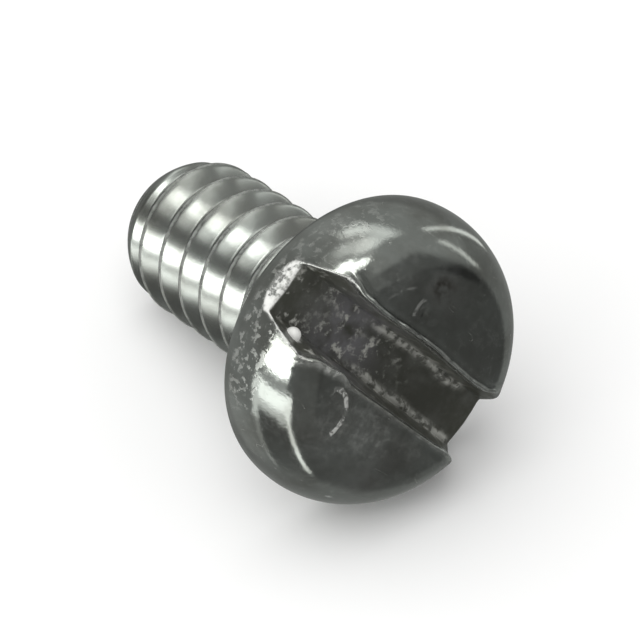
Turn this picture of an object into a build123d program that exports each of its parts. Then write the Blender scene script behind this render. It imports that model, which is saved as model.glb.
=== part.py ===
from build123d import *
import math
import os

# Slotted pan head machine screw, No. 10-24 UNC x 3/8 in, one solid piece of plated steel.
# Millimetres. It is drawn on Z, with the bearing face at z = 0, the shank above it and the head below,
# and then laid on its side as it rests on a table, head toward +X and tip low toward -X.

# Thread (unified coarse, right hand)
INCH = 25.4
THREADS_PER_INCH = 24
PITCH = INCH / THREADS_PER_INCH
MAJOR_DIA = 4.80
THREAD_DEPTH = 0.61343 * PITCH
CREST_FLAT = 0.10 * PITCH
FLANK_ANGLE = 30.0
THREAD_START = 278.6

# Shank
SHANK_LENGTH = 9.15
NECK_LENGTH = 0.90
RUN_OUT = 0.90
TIP_ROUND_LENGTH = 1.55
TIP_ROUND_IN = 0.58
TIP_LEAD = 0.60
CREST_CLEAR = 0.30
ROOT_SINK = 0.06
NECK_SINK = 0.50

# Head
HEAD_DIA = 9.30
HEAD_HEIGHT = 2.74
HEAD_WIDEST = 0.62
BEARING_DIA = 9.06
TOP_FLAT_DIA = 6.14
BEARING_CLEAR = 0.06

# Driver slot, pressed with leaning walls and flared mouths
SLOT_FLOOR_WIDTH = 1.62
SLOT_TOP_WIDTH = 2.36
SLOT_MOUTH_WIDTH = 2.95
SLOT_DEPTH = 1.66
SLOT_WAIST_HALF = 2.90
SLOT_OVERRUN = 0.40
SLOT_LIP = 0.08

# Rest: the screw lies on its head's rim and its last threads, turned about its axis as photographed
REST_ROLL = 34.93
TANGENT_STEPS = 60

# Derived sizes
MAJOR_R = MAJOR_DIA / 2
ROOT_R = MAJOR_R - THREAD_DEPTH
NECK_R = MAJOR_R - 0.325 * PITCH
FLANK_SLOPE = math.tan(math.radians(FLANK_ANGLE))
UNDER_FILLET = MAJOR_R - NECK_R + BEARING_CLEAR


def underside_edge():
    """Outer edge of the head's underside, from the bearing face round to the widest ring."""
    return Spline(
        (BEARING_DIA / 2, 0),
        (HEAD_DIA / 2, -HEAD_WIDEST),
        tangents=((0.55, -0.83), (0, -1)),
    )


def head_body():
    """Head as one revolved profile: bearing face, rounded underside edge, elliptic shoulder, flat top."""
    flat = TOP_FLAT_DIA / 2
    with BuildSketch(Plane.XZ) as profile:
        with BuildLine():
            Line((0, 0), (BEARING_DIA / 2, 0))
            add(underside_edge())
            EllipticalCenterArc(
                (flat, -HEAD_WIDEST),
                HEAD_DIA / 2 - flat,
                HEAD_HEIGHT - HEAD_WIDEST,
                start_angle=270,
                arc_size=90,
            )
            Line((flat, -HEAD_HEIGHT), (0, -HEAD_HEIGHT))
            Line((0, -HEAD_HEIGHT), (0, 0))
        make_face()
    return revolve(profile.sketch, axis=Axis.Z)


def thread_outline():
    """Axial section of one pitch, from root to root over the ridge, as radius and height pairs."""
    crest_half = CREST_FLAT / 2
    foot_half = crest_half + THREAD_DEPTH * FLANK_SLOPE
    return [
        (ROOT_R, -foot_half),
        (MAJOR_R, -crest_half),
        (MAJOR_R, crest_half),
        (ROOT_R, foot_half),
        (ROOT_R, PITCH - foot_half),
    ]


def turn_curves(turn, bottom):
    """One turn of right-hand helices, one for each corner of the outline."""
    curves = []
    for radius, height in thread_outline():
        place = Location((0, 0, bottom + turn * PITCH + height), (0, 0, THREAD_START))
        curves.append(Helix(PITCH, PITCH, radius).edge().moved(place))
    return curves


def helicoid_end(curve):
    """Ruled surface from the axis out to one turn of the root helix."""
    axis_line = Edge.make_line((0, 0, (curve @ 0).Z), (0, 0, (curve @ 1).Z))
    return Face.make_surface_from_curves(axis_line, curve)


def axial_end(curves, where):
    """Flat face in the axial plane where the helices start or stop."""
    corners = [curve @ where for curve in curves]
    axis_points = [(0, 0, corners[-1].Z), (0, 0, corners[0].Z)]
    return Face(Wire.make_polygon(corners + axis_points))


def threaded_rod():
    """Threaded bar of whole turns, longer than the shank at both ends."""
    turns = math.ceil(SHANK_LENGTH / PITCH) + 2
    bottom = SHANK_LENGTH - math.ceil(SHANK_LENGTH / PITCH) * PITCH - PITCH
    rings = [turn_curves(turn, bottom) for turn in range(turns)]
    faces = [helicoid_end(rings[0][0]), axial_end(rings[0], 0)]
    for ring in rings:
        for first, second in zip(ring, ring[1:]):
            faces.append(Face.make_surface_from_curves(first, second))
    faces += [helicoid_end(rings[-1][-1]), axial_end(rings[-1], 1)]
    return Solid(Shell(faces))


def tip_edge():
    """Rounding of the tip, starting clear of the crests so that it trims them gently."""
    tip_start = SHANK_LENGTH - TIP_ROUND_LENGTH
    return Spline(
        (MAJOR_R + CREST_CLEAR, tip_start - TIP_LEAD),
        (MAJOR_R + 0.01, tip_start),
        (MAJOR_R - 0.40 * TIP_ROUND_IN, tip_start + 0.70 * TIP_ROUND_LENGTH),
        (MAJOR_R - TIP_ROUND_IN, SHANK_LENGTH),
    )


def thread_envelope():
    """Trims the thread: cone from the neck out past the crests, and the rounded tip."""
    clear_r = MAJOR_R + CREST_CLEAR
    cone_top = NECK_LENGTH + RUN_OUT * (clear_r - NECK_R) / (MAJOR_R - NECK_R)
    with BuildSketch(Plane.XZ) as profile:
        with BuildLine():
            Line((0, NECK_LENGTH), (NECK_R, NECK_LENGTH))
            Line((NECK_R, NECK_LENGTH), (clear_r, cone_top))
            Line((clear_r, cone_top), (clear_r, SHANK_LENGTH - TIP_ROUND_LENGTH - TIP_LEAD))
            add(tip_edge())
            Line((MAJOR_R - TIP_ROUND_IN, SHANK_LENGTH), (0, SHANK_LENGTH))
            Line((0, SHANK_LENGTH), (0, NECK_LENGTH))
        make_face()
    return revolve(profile.sketch, axis=Axis.Z)


def neck():
    """Plain neck under the head: fillet, cylinder, and the cone that fills the roots of the run-out."""
    foot_r = NECK_R + UNDER_FILLET
    with BuildSketch(Plane.XZ) as profile:
        with BuildLine():
            Line((0, -NECK_SINK), (foot_r, -NECK_SINK))
            Line((foot_r, -NECK_SINK), (foot_r, 0))
            RadiusArc((foot_r, 0), (NECK_R, UNDER_FILLET), UNDER_FILLET)
            Line((NECK_R, UNDER_FILLET), (NECK_R, NECK_LENGTH))
            Line((NECK_R, NECK_LENGTH), (ROOT_R - ROOT_SINK, NECK_LENGTH + RUN_OUT))
            Line((ROOT_R - ROOT_SINK, NECK_LENGTH + RUN_OUT), (0, NECK_LENGTH + RUN_OUT))
            Line((0, NECK_LENGTH + RUN_OUT), (0, -NECK_SINK))
        make_face()
    return revolve(profile.sketch, axis=Axis.Z)


def slot_outline(height, spread):
    """Hourglass outline of the slot at a height over its floor, spread further by the lip bevel."""
    far = HEAD_DIA / 2 + 0.6
    rise = height / SLOT_DEPTH / 2
    waist = SLOT_FLOOR_WIDTH / 2 + (SLOT_TOP_WIDTH - SLOT_FLOOR_WIDTH) * rise + spread
    mouth = SLOT_FLOOR_WIDTH / 2 + (SLOT_MOUTH_WIDTH - SLOT_FLOOR_WIDTH) * rise + spread
    corners = [
        (-far, -mouth),
        (-SLOT_WAIST_HALF, -waist),
        (SLOT_WAIST_HALF, -waist),
        (far, -mouth),
        (far, mouth),
        (SLOT_WAIST_HALF, waist),
        (-SLOT_WAIST_HALF, waist),
        (-far, mouth),
    ]
    level = Plane.XY.offset(-HEAD_HEIGHT + SLOT_DEPTH - height)
    return level * make_face(Polyline(*corners, close=True))


def slot_cutter():
    """Slot as a ruled loft from the floor strip up the leaning walls and out over the bevelled lips."""
    sections = [
        slot_outline(0.0, 0.0),
        slot_outline(SLOT_DEPTH - SLOT_LIP, 0.0),
        slot_outline(SLOT_DEPTH + SLOT_OVERRUN, SLOT_LIP + SLOT_OVERRUN),
    ]
    return loft(sections, ruled=True)


def rest_tilt():
    """Lean of the axis at rest, from the line that touches both the head's rim and the tip."""
    steps = [step / TANGENT_STEPS for step in range(TANGENT_STEPS + 1)]
    rim = [underside_edge() @ step for step in steps]
    tip = [point for point in (tip_edge() @ step for step in steps) if point.X <= MAJOR_R]
    slope = min(max((r.X - t.X) / (t.Y - r.Y) for r in rim) for t in tip)
    return math.degrees(math.atan(slope))


def build_screw():
    """Head, neck and trimmed thread in one solid, laid down as it rests."""
    thread = threaded_rod() & thread_envelope()
    upright = (head_body() + neck() + thread) - slot_cutter()
    turned = upright.rotate(Axis.Z, 180 - REST_ROLL)
    return turned.rotate(Axis.Y, -90 - rest_tilt())


os.makedirs("parts", exist_ok=True)
screw = build_screw()
export_step(screw, "parts/screw.step")
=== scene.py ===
"""Looks of a slotted pan head machine screw, lying on its side on a pale floor.

Shapes are worked out in the screw's own frame in millimetres: z runs along the axis from the bearing
face (z = 0) to the tip, the head lies at negative z and the slot runs along x. RestPose lays the
finished points on the floor in metres.
"""

import logging
import math
from dataclasses import dataclass, field
from enum import Enum
from functools import partial, reduce

import bpy
import numpy as np
from bpy.types import ID, Material, Node, NodeInputs, NodeOutputs, NodeSocket, NodeTree, Object
from mathutils import Matrix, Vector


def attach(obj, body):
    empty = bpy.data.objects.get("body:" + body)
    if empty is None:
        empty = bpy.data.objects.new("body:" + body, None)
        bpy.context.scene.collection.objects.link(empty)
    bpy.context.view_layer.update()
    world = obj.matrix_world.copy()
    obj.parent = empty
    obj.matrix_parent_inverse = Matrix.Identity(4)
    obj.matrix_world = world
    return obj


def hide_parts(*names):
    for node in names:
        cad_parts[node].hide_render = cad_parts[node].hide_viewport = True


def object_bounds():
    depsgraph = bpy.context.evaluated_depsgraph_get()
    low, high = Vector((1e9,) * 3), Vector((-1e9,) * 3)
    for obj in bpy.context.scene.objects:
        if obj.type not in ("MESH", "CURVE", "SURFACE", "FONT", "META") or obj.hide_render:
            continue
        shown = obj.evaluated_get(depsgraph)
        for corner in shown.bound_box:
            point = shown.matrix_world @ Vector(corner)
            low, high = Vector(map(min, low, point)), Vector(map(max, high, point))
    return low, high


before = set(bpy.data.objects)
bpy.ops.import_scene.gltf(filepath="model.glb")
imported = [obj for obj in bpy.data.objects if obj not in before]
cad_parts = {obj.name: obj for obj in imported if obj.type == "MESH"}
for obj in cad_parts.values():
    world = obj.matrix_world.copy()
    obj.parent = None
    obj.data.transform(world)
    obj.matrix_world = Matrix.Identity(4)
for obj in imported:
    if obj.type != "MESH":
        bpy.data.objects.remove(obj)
cad_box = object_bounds()

log = logging.getLogger("screw")

Array = np.ndarray
Rgb = tuple[float, float, float]
Socket = NodeSocket
Shares = tuple[tuple[str, float], ...]


# Shared maths


def smooth_step(value: Array, start: float, end: float, least: float = 0.0) -> Array:
    """Cubic ramp from the least result to 1: t squared times (3 - 2 t), with t clamped from 0 to 1."""
    t = np.clip((value - start) / (end - start), 0.0, 1.0)
    return least + (1.0 - least) * t * t * (3.0 - 2.0 * t)


def soft_min(first: Array, second: Array, blend: float) -> Array:
    """Smaller surface, rounded by blend times h (1 - h), where h mixes from second to first."""
    h = np.clip(0.5 + 0.5 * (second - first) / blend, 0.0, 1.0)
    return second * (1.0 - h) + first * h - blend * h * (1.0 - h)


def soft_max(first: Array, second: Array, blend: float) -> Array:
    """Larger of two surfaces with a rounded crease, the mirror of soft_min."""
    return -soft_min(-first, -second, blend)


def hump(value: Array, centre: float, width: float) -> Array:
    """Gaussian bump: e to the minus squared offset from the centre over the squared width."""
    return np.exp(-(((value - centre) / width) ** 2))


@dataclass(frozen=True)
class Blot:
    """Soft round spot seen from the head's top, in millimetres."""

    x: float
    y: float
    width: float
    strength: float = 1.0

    def at(self, x: Array, y: Array) -> Array:
        """Strength times the bump of x times the bump of y."""
        return self.strength * hump(x, self.x, self.width) * hump(y, self.y, self.width)


def spread(blots: tuple[Blot, ...], x: Array, y: Array) -> Array:
    """Sum of several blots at each place."""
    return sum(blot.at(x, y) for blot in blots)


class Grain:
    """Smooth random lattice noise, the same on every run."""

    def __init__(self, seed: int, size: int = 64) -> None:
        """Fills a square lattice; the pattern repeats after its size in cells."""
        self.size = size
        self.lattice = np.random.default_rng(seed).uniform(-1.0, 1.0, (size, size))

    def at(self, x: Array, y: Array) -> Array:
        """Value of the pattern.

        Formula: the four corners of the unit cell round (x, y), mixed by cubic ramps of the fractions.

        Args:
            x, y: place in cells.

        Returns:
            Numbers from -1 to 1.
        """
        column = np.floor(x).astype(int)
        row = np.floor(y).astype(int)
        u = smooth_step(x - column, 0.0, 1.0)
        v = smooth_step(y - row, 0.0, 1.0)
        c0, c1 = column % self.size, (column + 1) % self.size
        r0, r1 = row % self.size, (row + 1) % self.size
        low = self.lattice[c0, r0] * (1 - u) + self.lattice[c1, r0] * u
        high = self.lattice[c0, r1] * (1 - u) + self.lattice[c1, r1] * u
        return low * (1 - v) + high * v

    def layered(self, x: Array, y: Array, octaves: int = 3) -> Array:
        """Sum of octaves, each twice as fine and half as strong, divided by the total strength.

        Args:
            x, y: place in cells.
            octaves: how many.

        Returns:
            Numbers from -1 to 1.
        """
        total = np.zeros(np.broadcast(x, y).shape)
        for octave in range(octaves):
            total += self.at(x * 2**octave + 7.3 * octave, y * 2**octave + 3.1 * octave) / 2**octave
        return total / (2.0 - 0.5 ** (octaves - 1))


@dataclass(frozen=True)
class RestPose:
    """How the screw lies: turned about its axis, then tipped until rim and thread touch the floor."""

    roll_deg: float = 34.93
    tilt_deg: float = 15.304744

    def matrix(self) -> Array:
        """Turn about z by 180 degrees less the roll, then about y by minus 90 degrees less the tilt.

        Returns:
            The 3 by 3 matrix.
        """
        turn = math.radians(180.0 - self.roll_deg)
        tip = math.radians(-90.0 - self.tilt_deg)
        ct, st, cp, sp = math.cos(turn), math.sin(turn), math.cos(tip), math.sin(tip)
        about_z = np.array([[ct, -st, 0.0], [st, ct, 0.0], [0.0, 0.0, 1.0]])
        about_y = np.array([[cp, 0.0, sp], [0.0, 1.0, 0.0], [-sp, 0.0, cp]])
        return about_y @ about_z

    def place(self, points: Array) -> Array:
        """Screw millimetres to scene metres."""
        return points @ self.matrix().T / 1000.0


# Sizes


class SlotSide(Enum):
    """The two long walls of the slot, by the sign of y."""

    UPPER = -1.0
    LOWER = 1.0


@dataclass(frozen=True)
class WallShape:
    """One long wall of the slot: half widths of its opening at places along the slot, and its edges.

    The burr stands at its place across the slot and between two places along it. The tip's reach and
    cut round the lobe where the wall meets the rim at positive x.
    """

    along: tuple[float, ...]
    half: tuple[float, ...]
    lip: float
    burr_at: float
    burr_height: float
    burr_from: float
    burr_to: float
    tip_reach: float
    tip_cut: float

    def opening(self, x: Array) -> Array:
        """Half width at the head's top, joined through the given places by cubic ramps.

        Args:
            x: places along the slot.

        Returns:
            Half widths in millimetres.
        """
        places, widths = np.array(self.along), np.array(self.half)
        step = np.clip(np.searchsorted(places, x) - 1, 0, len(places) - 2)
        share = smooth_step((x - places[step]) / (places[step + 1] - places[step]), 0.0, 1.0)
        return widths[step] * (1.0 - share) + widths[step + 1] * share


UPPER_WALL = WallShape(
    along=(-4.7, -3.85, -3.2, -2.3, -0.2, 2.2, 2.8, 3.5, 4.7),
    half=(1.34, 1.38, 1.06, 1.00, 1.08, 0.99, 1.02, 1.26, 1.30),
    lip=0.05,
    burr_at=0.73,
    burr_height=0.16,
    burr_from=-0.6,
    burr_to=3.8,
    tip_reach=0.34,
    tip_cut=0.30,
)
LOWER_WALL = WallShape(
    along=(-4.7, -3.75, -3.1, -2.2, -1.65, 0.4, 2.4, 3.2, 4.7),
    half=(1.56, 1.52, 1.12, 1.04, 1.17, 1.13, 1.11, 1.06, 1.16),
    lip=0.045,
    burr_at=0.71,
    burr_height=0.14,
    burr_from=-0.4,
    burr_to=4.5,
    tip_reach=1.70,
    tip_cut=0.92,
)


@dataclass(frozen=True)
class HeadSizes:
    """Pan head, heights measured from the bearing face."""

    radius: float = 4.65
    height: float = 2.74
    widest: float = 0.62
    flat_radius: float = 3.07
    crown: float = 0.03
    shoulder_power: float = 1.95
    bearing_radius: float = 4.53
    rim_power: float = 1.2
    floor_height: float = 1.08
    floor_half: float = 0.81
    floor_grain: float = 0.018
    wall_grain: float = 0.05
    burr_width: float = 0.105
    corner_blend: float = 0.05
    edge_blend: float = 0.045
    mouth_blend: float = 0.40
    knob_blend: float = 0.16
    walls: dict[SlotSide, WallShape] = field(
        default_factory=lambda: {SlotSide.UPPER: UPPER_WALL, SlotSide.LOWER: LOWER_WALL}
    )
    dents: tuple[Blot, ...] = (
        Blot(-1.08, -1.79, 0.14, -0.07),
        Blot(-1.40, -1.76, 0.11, 0.03),
        Blot(0.2, -2.75, 0.35, -0.03),
    )
    bead_centre: tuple[float, float, float] = (-3.56, 0.97, -1.49)
    bead_radius: float = 0.235


@dataclass(frozen=True)
class ThreadSizes:
    """Right-hand thread, neck and tip, heights measured from the bearing face."""

    major: float = 2.40
    pitch: float = 25.4 / 24.0
    depth: float = 0.47
    crest_half: float = 0.045
    seen_slope: float = 0.66
    seen_bend: float = 0.22
    lee_slope: float = 1.25
    start_deg: float = 278.6
    length: float = 9.15
    neck: float = 0.90
    neck_radius: float = 2.40 - 0.325 * 25.4 / 24.0
    run_out: float = 0.90
    root_fill: float = 0.06
    fillet: float = 0.404
    tip_rounding: float = 1.55
    tip_in: float = 0.58
    tip_power: float = 2.1
    ridge_blend: float = 0.04
    crest_blend: float = 0.015
    root_blend: float = 0.05
    fill_blend: float = 0.03


# Surfaces


@dataclass(frozen=True)
class HeadSurface:
    """Top, shoulder and slot of the head as a height over the bearing face."""

    sizes: HeadSizes

    def dome(self, radius: Array) -> Array:
        """Head without its slot.

        Formula: a flat top with a slight crown, then a superellipse quarter down to the widest ring.

        Args:
            radius: distance from the axis.

        Returns:
            Height over the bearing face.
        """
        s = self.sizes
        fall = np.clip((radius - s.flat_radius) / (s.radius - s.flat_radius), 0.0, 1.0)
        rise = (1.0 - fall**s.shoulder_power) ** (1.0 / s.shoulder_power)
        crown = s.crown * (1.0 - np.clip(radius / s.flat_radius, 0.0, 1.0) ** 2)
        return s.widest + (s.height - s.crown - s.widest) * rise + crown

    def wall_value(self, y: Array, name: str) -> Array:
        """One of the sizes of the wall on y's side: the upper wall's where y is negative."""
        upper, lower = self.sizes.walls[SlotSide.UPPER], self.sizes.walls[SlotSide.LOWER]
        return np.where(y < 0.0, getattr(upper, name), getattr(lower, name))

    def opening(self, x: Array, y: Array) -> Array:
        """Half width of the slot at its top for the wall on y's side.

        Formula: the wall's own table, plus a quarter ellipse that rounds the tip of the lobe where the
        wall meets the rim at positive x.

        Args:
            x, y: place along and across the slot.

        Returns:
            Half width in millimetres.
        """
        walls = self.sizes.walls
        plain = np.where(y < 0.0, walls[SlotSide.UPPER].opening(x), walls[SlotSide.LOWER].opening(x))
        rim = np.sqrt(np.clip(self.sizes.radius**2 - y * y, 0.0, None))
        inward = np.clip(1.0 - (rim - x) / self.wall_value(y, "tip_reach"), 0.0, 1.0)
        return plain + self.wall_value(y, "tip_cut") * (1.0 - np.sqrt(1.0 - inward**2))

    def burr(self, x: Array, y: Array) -> Array:
        """Crumbly ridges pressed up along the foot of both walls.

        Formula: a narrow hump across the slot at the wall's foot, times a ramp along the slot, times
        coarse grain that breaks it into crumbs.

        Args:
            x, y: place along and across the slot.

        Returns:
            Height added to the floor.
        """
        total = np.zeros(np.broadcast(x, y).shape)
        for side, wall in self.sizes.walls.items():
            crumbs = Grain(40 + int(side.value)).layered(x * 4.2 + 11.0, y * 2.0 + 5.0, 3)
            wander = 0.05 * Grain(50 + int(side.value)).at(x * 1.1 + 30.0, x * 0.0)
            ridge = hump(y * side.value - wander, wall.burr_at, self.sizes.burr_width)
            start = smooth_step(x, wall.burr_from - 0.9, wall.burr_from + 0.5)
            stop = smooth_step(-x, -wall.burr_to, 0.5 - wall.burr_to)
            total += wall.burr_height * ridge * start * stop * np.clip(0.7 + 0.8 * crumbs, 0.15, None)
        return total

    def rough_wall(self, x: Array, y: Array) -> Array:
        """Coarse grain of the torn walls and lips."""
        return Grain(11).layered(x * 4.4 + 40.0, np.sign(y) * 9.0 + y * 4.0)

    def slot(self, x: Array, y: Array) -> Array:
        """Slot surface, carried on upward past the head.

        Formula: the rounded maximum of the floor with its burrs and the straight wall that climbs
        from the floor's edge to the opening.

        Args:
            x, y: place along and across the slot.

        Returns:
            Height over the bearing face.
        """
        s = self.sizes
        share = (np.abs(y) - s.floor_half) / (self.opening(x, y) - s.floor_half)
        wall = s.floor_height + share * (s.height - s.floor_height) + s.wall_grain * self.rough_wall(x, y)
        grain = s.floor_grain * Grain(5).layered(x * 3.0, y * 3.0, 4)
        return soft_max(s.floor_height + grain + self.burr(x, y), wall, s.corner_blend)

    def height(self, x: Array, y: Array) -> Array:
        """Whole upper surface.

        Formula: the rounded minimum of the dome with its raised lips and the slot, plus marks. The
        rounding is wider at the slot's mouths and at the knobs beside the far one.

        Args:
            x, y: place along and across the slot.

        Returns:
            Height over the bearing face.
        """
        s = self.sizes
        radius, across = np.hypot(x, y), np.abs(y)
        outside = across - self.opening(x, y)
        inside = smooth_step(s.radius - radius, 0.45, 1.1)
        raised = (0.8 + 0.7 * self.rough_wall(x, y)) * hump(outside, 0.04, 0.05)
        lips = self.wall_value(y, "lip") * inside * (raised - 0.45 * hump(outside, 0.20, 0.09))
        mouth = smooth_step(radius, s.radius - 0.75, s.radius - 0.25) * smooth_step(-across, -0.95, -0.70)
        knob = smooth_step(x, 2.9, 3.8) * smooth_step(across, 0.75, 1.0)
        blend = s.edge_blend + s.mouth_blend * mouth + s.knob_blend * knob
        top = soft_min(self.dome(radius) + lips, self.slot(x, y), blend)
        return top + self.marks(x, y) * smooth_step(s.radius - radius, 0.15, 0.7)

    def marks(self, x: Array, y: Array) -> Array:
        """Dents, faint waves and nicks of the formed top.

        Args:
            x, y: place along and across the slot.

        Returns:
            Height added to the top.
        """
        waves = 0.006 * Grain(21).layered(x * 0.9 + 3.0, y * 0.9 + 8.0)
        nicks = np.clip(Grain(23).layered(x * 5.0 + 2.0, y * 5.0 + 6.0, 2) - 0.52, 0.0, None)
        on_flat = smooth_step(np.hypot(x, y), 3.3, 2.9)
        return spread(self.sizes.dents, x, y) + waves - 0.04 * nicks * on_flat


@dataclass(frozen=True)
class ShankSurface:
    """Neck fillet, run-out, thread and rounded tip as a radius round the axis."""

    sizes: ThreadSizes

    def offset(self, angle: Array, z: Array) -> Array:
        """Distance to the nearest ridge, which climbs one pitch a turn, right hand.

        Args:
            angle: round the axis in radians.
            z: from the bearing face.

        Returns:
            Axial distance in millimetres.
        """
        s = self.sizes
        turns = (angle - math.radians(s.start_deg)) / (2.0 * math.pi)
        along = (z - s.length) / s.pitch - turns
        return (along - np.round(along)) * s.pitch

    def radius(self, angle: Array, z: Array) -> Array:
        """Radius of the threaded shank.

        Formula: toward the head the ridge falls by its slope and the square of the distance, toward the
        tip it falls straight and more steeply, both rounded into the root; it is held under the run-out
        cone and the tip's rounding, and over the cone that fills the roots next to the neck.

        Args:
            angle: round the axis in radians.
            z: from the bearing face.

        Returns:
            Radius in millimetres.
        """
        s = self.sizes
        offset = self.offset(angle, z)
        root = s.major - s.depth
        headward = (-offset) % s.pitch - s.crest_half
        tipward = offset % s.pitch - s.crest_half
        seen = s.major - s.seen_slope * headward - s.seen_bend * headward * np.abs(headward)
        ridge = soft_max(seen, s.major - s.lee_slope * tipward, s.ridge_blend)
        flat_crest = soft_min(ridge, np.full_like(ridge, s.major), s.crest_blend)
        thread = soft_max(flat_crest, np.full_like(ridge, root), s.root_blend)
        share = (z - s.neck) / s.run_out
        cone = s.neck_radius + share * (s.major - s.neck_radius)
        fill = s.neck_radius - share * (s.neck_radius - root + s.root_fill)
        body = soft_max(soft_min(thread, cone, s.ridge_blend), fill, s.fill_blend)
        body = np.where(z < s.neck, s.neck_radius, body)
        return np.minimum(body, self.tip(z)) + self.flare(z)

    def tip(self, z: Array) -> Array:
        """Envelope of the rounded tip: a power curve from the major radius inward.

        Args:
            z: from the bearing face.

        Returns:
            Radius in millimetres.
        """
        s = self.sizes
        along = np.clip((z - (s.length - s.tip_rounding)) / s.tip_rounding, -1.0, 1.0)
        inward = s.tip_in * np.clip(along, 0.0, 1.0) ** s.tip_power
        return s.major + 0.01 + 0.3 * np.clip(-along, 0.0, 1.0) ** 1.5 - inward

    def flare(self, z: Array) -> Array:
        """Quarter-circle fillet under the head."""
        r = self.sizes.fillet
        return r - np.sqrt(r * r - np.clip(r - z, 0.0, r) ** 2)

    def rows(self, angle: Array) -> Array:
        """Heights of the grid rows at each angle.

        Formula: in the middle the rows climb with the thread, so its corners fall on grid lines; over
        the neck and the tip they are spread evenly between the end and the first climbing row.

        Args:
            angle: angles of the columns in radians.

        Returns:
            Array of rows by columns, in millimetres.
        """
        s = self.sizes
        steps = np.array([0.0, 0.035, 0.06, 0.11, 0.20, 0.29, 0.37, 0.44])
        ring = np.concatenate([-steps[:0:-1], steps, [s.pitch / 2]])
        first_height, turns, neck_rows, tip_rows = 1.15, 6, 26, 29
        start = (s.length - s.start_deg / 360.0 * s.pitch) % s.pitch
        base = start + math.ceil((first_height - start) / s.pitch) * s.pitch
        heights = base + (np.arange(turns)[:, None] * s.pitch + ring).ravel()
        middle = heights[:, None] + angle / (2.0 * math.pi) * s.pitch
        low = np.linspace(0.0, 1.0, neck_rows, endpoint=False)[:, None] * middle[:1]
        high = middle[-1:] + np.linspace(0.0, 1.0, tip_rows + 1)[1:, None] * (s.length - middle[-1:])
        return np.concatenate([low, middle, high])


# Mesh building


def faces_of(first: Array, second: Array, third: Array, fourth: Array | int = -1) -> Array:
    """Faces from their corners' point indices, one row a face; a triangle's fourth corner is -1."""
    return np.stack(np.broadcast_arrays(first, second, third, fourth), -1).reshape(-1, 4)


def ring_faces(index: Array) -> Array:
    """Quads of a grid of point indices whose last column joins its first."""
    following = np.roll(index, -1, axis=1)
    return faces_of(index[:-1], following[:-1], following[1:], index[1:])


def fan_faces(ring: Array, pole: int) -> Array:
    """Triangles from each edge of a closed ring of point indices to one point."""
    return faces_of(ring, np.roll(ring, -1), pole)


def seam_faces(left: Array, right: Array, left_z: Array, right_z: Array) -> Array:
    """Triangles that close the thread's grid, whose last column has climbed one pitch over its first.

    Formula: from the bottom up, the column whose next point lies lower moves on by one point, and
    each step closes one triangle with the other column.

    Args:
        left, right: indices of the last and the first column's points, bottom up.
        left_z, right_z: their heights.

    Returns:
        Array of triangles padded with -1.
    """
    faces = []
    i = j = 0
    end = len(left) - 1
    while i < end or j < end:
        if j == end or (i < end and left_z[i + 1] <= right_z[j + 1]):
            faces.append((left[i], right[j], left[i + 1], -1))
            i += 1
        else:
            faces.append((left[i], right[j], right[j + 1], -1))
            j += 1
    return np.array(faces)


def round_points(radius: Array, angle: Array, z: Array | float) -> Array:
    """Points round the z axis: radius times cosine, radius times sine, z."""
    return np.stack(np.broadcast_arrays(radius * np.cos(angle), radius * np.sin(angle), z), -1)


def mesh_object(name: str, points: Array, faces: Array) -> Object:
    """Makes a smooth mesh object at the origin.

    Args:
        name: name of the object.
        points: points in metres.
        faces: corners of each face, padded with -1 where a face is a triangle.

    Returns:
        The object, linked to the scene.
    """
    used = faces >= 0
    counts = used.sum(1)
    mesh = bpy.data.meshes.new(name)
    mesh.vertices.add(len(points))
    mesh.vertices.foreach_set("co", points.astype(np.float32).ravel())
    mesh.loops.add(int(counts.sum()))
    mesh.loops.foreach_set("vertex_index", faces[used].astype(np.int32))
    mesh.polygons.add(len(faces))
    starts = np.concatenate([[0], np.cumsum(counts)[:-1]])
    mesh.polygons.foreach_set("loop_start", starts.astype(np.int32))
    mesh.polygons.foreach_set("use_smooth", np.ones(len(faces), dtype=bool))
    mesh.update(calc_edges=True)
    mesh.validate()
    piece = bpy.data.objects.new(name, mesh)
    bpy.context.scene.collection.objects.link(piece)
    return piece


def store(piece: Object, name: str, values: Array) -> None:
    """Stores one number per point as a mesh attribute."""
    layer = piece.data.attributes.new(name, "FLOAT", "POINT")
    layer.data.foreach_set("value", values.astype(np.float32))


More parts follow.
